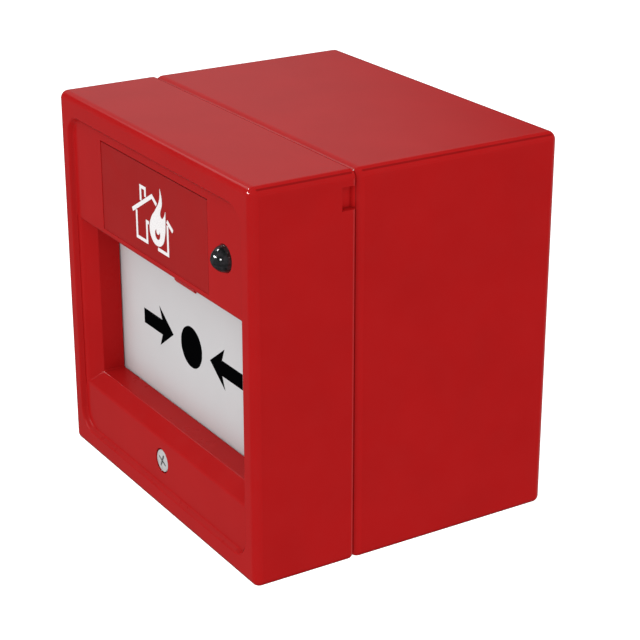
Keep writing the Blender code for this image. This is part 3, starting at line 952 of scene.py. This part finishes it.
def make_box(material):
    box = rounded_case("box_shell", BOX_FRONT, BOX_BACK, BOX_SEAM, 1.5)
    inside = (BOX_WALL - HALF, HALF - BOX_WALL)
    cut(box, slab("cavity", inside, (BOX_FRONT - 1.0, BOX_FLOOR), inside, CAVITY_CORNER))
    add_lips(box)
    through = (BOX_FLOOR - 1.4, BOX_BACK + 1.6)
    for sign in (-1, 1):
        for lift in (-1, 1):
            add_pillar(box, sign, lift)
        x = sign * WALL_SLOT_AT
        cut(box, slab("slot", (x - 4.0, x + 4.0), through, (-2.2, 2.2), 2.15))
    cut(box, rod("cable_entry", "d", (0.0, 18.0), 9.0, through))
    cut(box, rod("conduit_entry", "z", (0.0, 49.0), 10.2, (-BEYOND, -40.0)))
    smooth(box, 28)
    box.data.materials.clear()
    box.data.materials.append(material)
    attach(box, "base")
    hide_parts("back_box")


def add_lips(box):
    """The lip on three sides of the box's mouth, with a thicker root in the wall behind it."""
    root = (LIP_DEPTH[1] - 1.2, LIP_DEPTH[1] + 0.1)
    for sign in (-1, 1):
        join(box, block("lip", span(LIP_INSIDE, LIP_OUTSIDE, sign), LIP_DEPTH, (-37.0, 33.5)),
             block("root", span(LIP_INSIDE + 0.1, LIP_OUTSIDE + 0.8, sign), root, (-37.2, 33.3)))
    join(box, block("lip", (-37.0, 37.0), LIP_DEPTH, (-LIP_OUTSIDE, -LIP_INSIDE)),
         block("root", (-37.2, 37.2), root, (-LIP_OUTSIDE - 0.8, -LIP_INSIDE - 0.1)))


def add_pillar(box, sign, lift):
    """A bored pillar in a corner, with a web to each of the two walls beside it."""
    x, z = sign * PILLAR_AT, lift * PILLAR_AT
    reach = HALF - 1.0
    join(box, rod("pillar", "d", (x, z), 4.0, (BOX_FRONT, BOX_FLOOR + 1.0), 40),
         block("web", span(PILLAR_AT, reach, sign), (26.5, BOX_FLOOR + 0.9), (z - 0.8, z + 0.8)),
         block("web", (x - 0.8, x + 0.8), (26.8, BOX_FLOOR + 0.8), span(PILLAR_AT, reach, lift)))
    cut(box, rod("bore", "d", (x, z), 1.7, (BOX_FRONT - 1.0, 36.0), 32))


# Springs and the flag

def make_springs(material):
    """Compression springs with closed ends."""
    wire = 0.3
    for node in ("element_spring_left", "element_spring_right"):
        _, (front, back), _ = extent(node)
        centre = spot(node)
        spring = coil(node.replace("element_", "return_"), centre, 2.3, wire, front + wire, back - wire, 6)
        spring.data.materials.append(material)
        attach(spring, "base")
        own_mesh(spring)
        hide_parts(node)


def coil(name, centre, radius, wire, start, end, turns):
    """Round wire wound along the depth, with its turns closer together at both ends."""
    steps = turns * 32
    section = circle((radius, 0.0), wire, 12)
    rings = []
    for step in range(steps + 1):
        part = step / steps
        angle = 2 * math.pi * turns * part
        ease = part - math.sin(2 * math.pi * part) * 0.1
        depth = start + (end - start) * ease
        cosine, sine = math.cos(angle), math.sin(angle)
        rings.append([world(centre[0] + out * cosine, depth + along, centre[1] + out * sine)
                      for out, along in section])
    return smooth(skin(name, rings), 50, False)


def make_flag(material):
    x, (front, back), z = extent("alarm_flag")
    soft = 0.15
    steps = [(front, soft, 0.5), (front + soft, 0.0, 0.6), (back - soft, 0.0, 0.6), (back, soft, 0.5)]
    flag = smooth(stepped_plate("flag_plate", x, z, steps))
    flag.data.materials.append(material)
    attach(flag, "flag")
    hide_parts("alarm_flag")


# CAD nodes that keep their shape, with softened edges

SOFT_EDGE, FINE_EDGE = 0.12, 0.04
SHARP_ANGLE = math.radians(35)
BEVEL_ANGLE = math.radians(40)
WELD_DISTANCE = 1e-6


def smooth_group():
    """Geometry nodes that shade smooth except at sharp edges."""
    group = bpy.data.node_groups.new("smooth_by_angle", "GeometryNodeTree")
    group.interface.new_socket("Geometry", in_out="INPUT", socket_type="NodeSocketGeometry")
    group.interface.new_socket("Geometry", in_out="OUTPUT", socket_type="NodeSocketGeometry")
    start = group.nodes.new("NodeGroupInput")
    end = group.nodes.new("NodeGroupOutput")
    faces = group.nodes.new("GeometryNodeSetShadeSmooth")
    edges = group.nodes.new("GeometryNodeSetShadeSmooth")
    edges.domain = "EDGE"
    edges.inputs["Shade Smooth"].default_value = False
    angle = group.nodes.new("GeometryNodeInputMeshEdgeAngle")
    sharp = group.nodes.new("FunctionNodeCompare")
    sharp.inputs["B"].default_value = SHARP_ANGLE
    group.links.new(start.outputs[0], faces.inputs["Geometry"])
    group.links.new(faces.outputs[0], edges.inputs["Geometry"])
    group.links.new(angle.outputs["Unsigned Angle"], sharp.inputs["A"])
    group.links.new(sharp.outputs["Result"], edges.inputs["Selection"])
    group.links.new(edges.outputs[0], end.inputs[0])
    return group


def polish(node, material, group, edge):
    """Softens a CAD node's edges and gives it its material."""
    obj = frame["nodes"][node]
    weld = obj.modifiers.new("weld", "WELD")
    weld.merge_threshold = WELD_DISTANCE
    bevel = obj.modifiers.new("soft_edges", "BEVEL")
    bevel.width = edge * MM
    bevel.segments = 2
    bevel.limit_method = "ANGLE"
    bevel.angle_limit = BEVEL_ANGLE
    bevel.use_clamp_overlap = True
    shading = obj.modifiers.new("shading", "NODES")
    shading.node_group = group
    if not obj.data.materials:
        obj.data.materials.append(material)
    for slot in obj.material_slots:
        slot.material = material


def polish_nodes(steel, red):
    group = smooth_group()
    dark = dark_plastic()
    brass = metal("brass", BRASS, 0.3, (1, 4, 1))
    green = moulded("terminal_plastic", (0.012, 0.10, 0.05), 0.4, 0.3, 0.01, 0.1).material
    resistor = banded("resistor_body", "X", [TAN, (0.3, 0.03, 0.02), TAN, (0.02, 0.02, 0.02), TAN], 3.4)
    can = banded("capacitor_can", "Y", [(0.02, 0.03, 0.08), (0.02, 0.03, 0.08), (0.35, 0.36, 0.4)], 9.0)
    button = moulded("plunger_plastic", (0.42, 0.02, 0.02), 0.4, 0.3, 0.01).material
    plan = {
        "chassis": dark, "switch_body": dark, "control_chip": dark, "screw_retainer": dark,
        "terminal_block": green, "circuit_board": board_laminate(), "screw_insert": brass,
        "resistor_upper": resistor, "resistor_lower": resistor, "capacitor": can,
        "switch_plunger": button, "entry_plug": red, "led_lamp": lamp_plastic(),
        "switch_lever": steel, "element_pin": steel, "reset_barrel": steel,
    }
    for node in frame["nodes"]:
        if "_screw_" in node:
            plan[node] = steel
    thin = {"switch_lever", "switch_plunger", "screw_retainer"}
    for node, material in plan.items():
        polish(node, material, group, FINE_EDGE if node in thin else SOFT_EDGE)


# Stage

def aim(obj, azimuth, elevation, distance):
    """Puts a camera or a lamp round from the front and up by degrees, looking back at the object."""
    azimuth, elevation = math.radians(azimuth), math.radians(elevation)
    level = math.cos(elevation)
    away = Vector((math.sin(azimuth) * level, -math.cos(azimuth) * level, math.sin(elevation)))
    obj.location = CAMERA_TARGET + away * distance
    obj.rotation_euler = (-away).to_track_quat("-Z", "Y").to_euler()


def make_camera():
    camera = link("camera", bpy.data.cameras.new("camera"))
    aim(camera, AZIMUTH, ELEVATION, CAMERA_DISTANCE)
    camera.data.lens = LENS_MM
    camera.data.sensor_width = 36.0
    bpy.context.scene.camera = camera


def lamp(name, azimuth, elevation, size, radiance, receivers=None):
    """A lamp a metre away that mostly shows as a glint, on everything or on one collection."""
    light = bpy.data.lights.new(name, "AREA")
    light.shape = "ELLIPSE"
    light.size, light.size_y = size
    light.energy = radiance * math.pi * size[0] * size[1]
    obj = link(name, light)
    aim(obj, azimuth, elevation, 1.0)
    obj.visible_camera = False
    obj.visible_diffuse = False
    obj.light_linking.receiver_collection = receivers


def make_lamps(lens):
    """Three small bright lamps in front of the object. The lowest one is for the lens alone."""
    lens_only = bpy.data.collections.new("with_low_lamp")
    lens_only.objects.link(lens)
    lamp("lamp_left", -61, 44, (0.12, 0.12), 34.0)
    lamp("lamp_middle", -20, 23, (0.7, 0.17), 24.0)
    lamp("lamp_right", 32, 11, (0.2, 0.22), 22.0, lens_only)


class Studio:
    """The world's shader: an even white room, with its own picture for reflections."""

    def __init__(self):
        studio = bpy.data.worlds.new("studio")
        studio.use_nodes = True
        bpy.context.scene.world = studio
        self.tree = studio.node_tree
        self.tree.nodes.clear()
        self.direction = self.tree.nodes.new("ShaderNodeTexCoord").outputs["Generated"]

    def node(self, kind):
        return self.tree.nodes.new(kind)

    def link(self, source, target):
        self.tree.links.new(source, target)

    def even(self, strength):
        made = self.node("ShaderNodeValue")
        made.outputs[0].default_value = strength
        return made.outputs[0]

    def glow(self, towards, edge, full, strength):
        """Brightness that rises as a direction nears the one given, between two cosines."""
        turn = self.node("ShaderNodeVectorMath")
        turn.operation = "DOT_PRODUCT"
        turn.inputs[1].default_value = Vector(towards).normalized()
        rise = self.node("ShaderNodeMapRange")
        rise.interpolation_type = "SMOOTHERSTEP"
        rise.inputs["From Min"].default_value = edge
        rise.inputs["From Max"].default_value = full
        rise.inputs["To Max"].default_value = strength
        self.link(self.direction, turn.inputs[0])
        self.link(turn.outputs["Value"], rise.inputs["Value"])
        return rise.outputs["Result"]

    def total(self, values):
        first = values[0]
        for value in values[1:]:
            add = self.node("ShaderNodeMath")
            self.link(first, add.inputs[0])
            self.link(value, add.inputs[1])
            first = add.outputs[0]
        return first

    def background(self, strength):
        made = self.node("ShaderNodeBackground")
        made.inputs["Color"].default_value = (1.0, 1.0, 1.0, 1.0)
        if isinstance(strength, float):
            made.inputs["Strength"].default_value = strength
        else:
            self.link(strength, made.inputs["Strength"])
        return made.outputs[0]

    def choose(self, ray, otherwise, chosen):
        mix = self.node("ShaderNodeMixShader")
        self.link(self.node("ShaderNodeLightPath").outputs[ray], mix.inputs[0])
        self.link(otherwise, mix.inputs[1])
        self.link(chosen, mix.inputs[2])
        return mix.outputs[0]


def make_world():
    """White all round for the eye and for soft light; in reflections a dim room, lit from the left."""
    studio = Studio()
    mirrored = studio.total([
        studio.glow((-0.83, 0.25, 0.5), 0.876, 0.96, 0.27),
        studio.glow((-0.787, -0.224, 0.575), 0.982, 0.997, 1.0),
        studio.glow((-0.8, -0.25, -0.55), 0.6, 0.95, 0.10),
        studio.glow((0.0, 0.95, -0.3), 0.72, 0.95, 0.45),
    ])
    soft = studio.total([
        studio.even(0.97),
        studio.glow((0, 0, 1), -0.4, 0.4, 0.2),
        studio.glow((0, -1, 0), -0.3, 0.7, 0.11),
    ])
    light = studio.choose("Is Glossy Ray", studio.background(soft), studio.background(mirrored))
    seen = studio.choose("Is Camera Ray", light, studio.background(1.0))
    studio.link(seen, studio.node("ShaderNodeOutputWorld").inputs["Surface"])


def make_floor():
    """A wide pale floor well below the object, which hangs on a wall in use."""
    bm = bmesh.new()
    bmesh.ops.create_grid(bm, x_segments=1, y_segments=1, size=FLOOR_SIZE)
    mesh = bpy.data.meshes.new("floor")
    bm.to_mesh(mesh)
    bm.free()
    floor = link("floor", mesh)
    floor.location.z = CAD_BOUNDS[0][2] - FLOOR_DROP
    floor.visible_glossy = False
    floor.visible_diffuse = False
    recipe = Recipe("floor_paint", 0.9)
    greys = [(0.0, (0.93, 0.93, 0.93)), (1.0, (0.95, 0.95, 0.95))]
    recipe.set_colour(recipe.ramp(recipe.noise(400.0), greys))
    recipe.shader.inputs["Emission Color"].default_value = (1.0, 1.0, 1.0, 1.0)
    recipe.shader.inputs["Emission Strength"].default_value = 0.3
    mesh.materials.append(recipe.material)


def make_object():
    red = red_plastic()
    steel = metal("steel", STEEL, 0.28, (1, 3, 1))
    black = ink("black_ink", (0.0012, 0.0012, 0.0014), 0.6)
    white = ink("white_ink", (0.72, 0.70, 0.70), 0.5)
    make_box(red)
    make_cover(red, matt_red_plastic())
    make_label(label_plastic())
    make_symbol(white)
    make_lamps(make_lens(lens_plastic()))
    make_cover_screw(screw_plating())
    make_element(pale_plastic(), black)
    make_flag(striped_flag())
    make_springs(steel)
    polish_nodes(steel, red)


bpy.context.scene.view_settings.view_transform = "Standard"
make_camera()
make_world()
make_floor()
make_object()
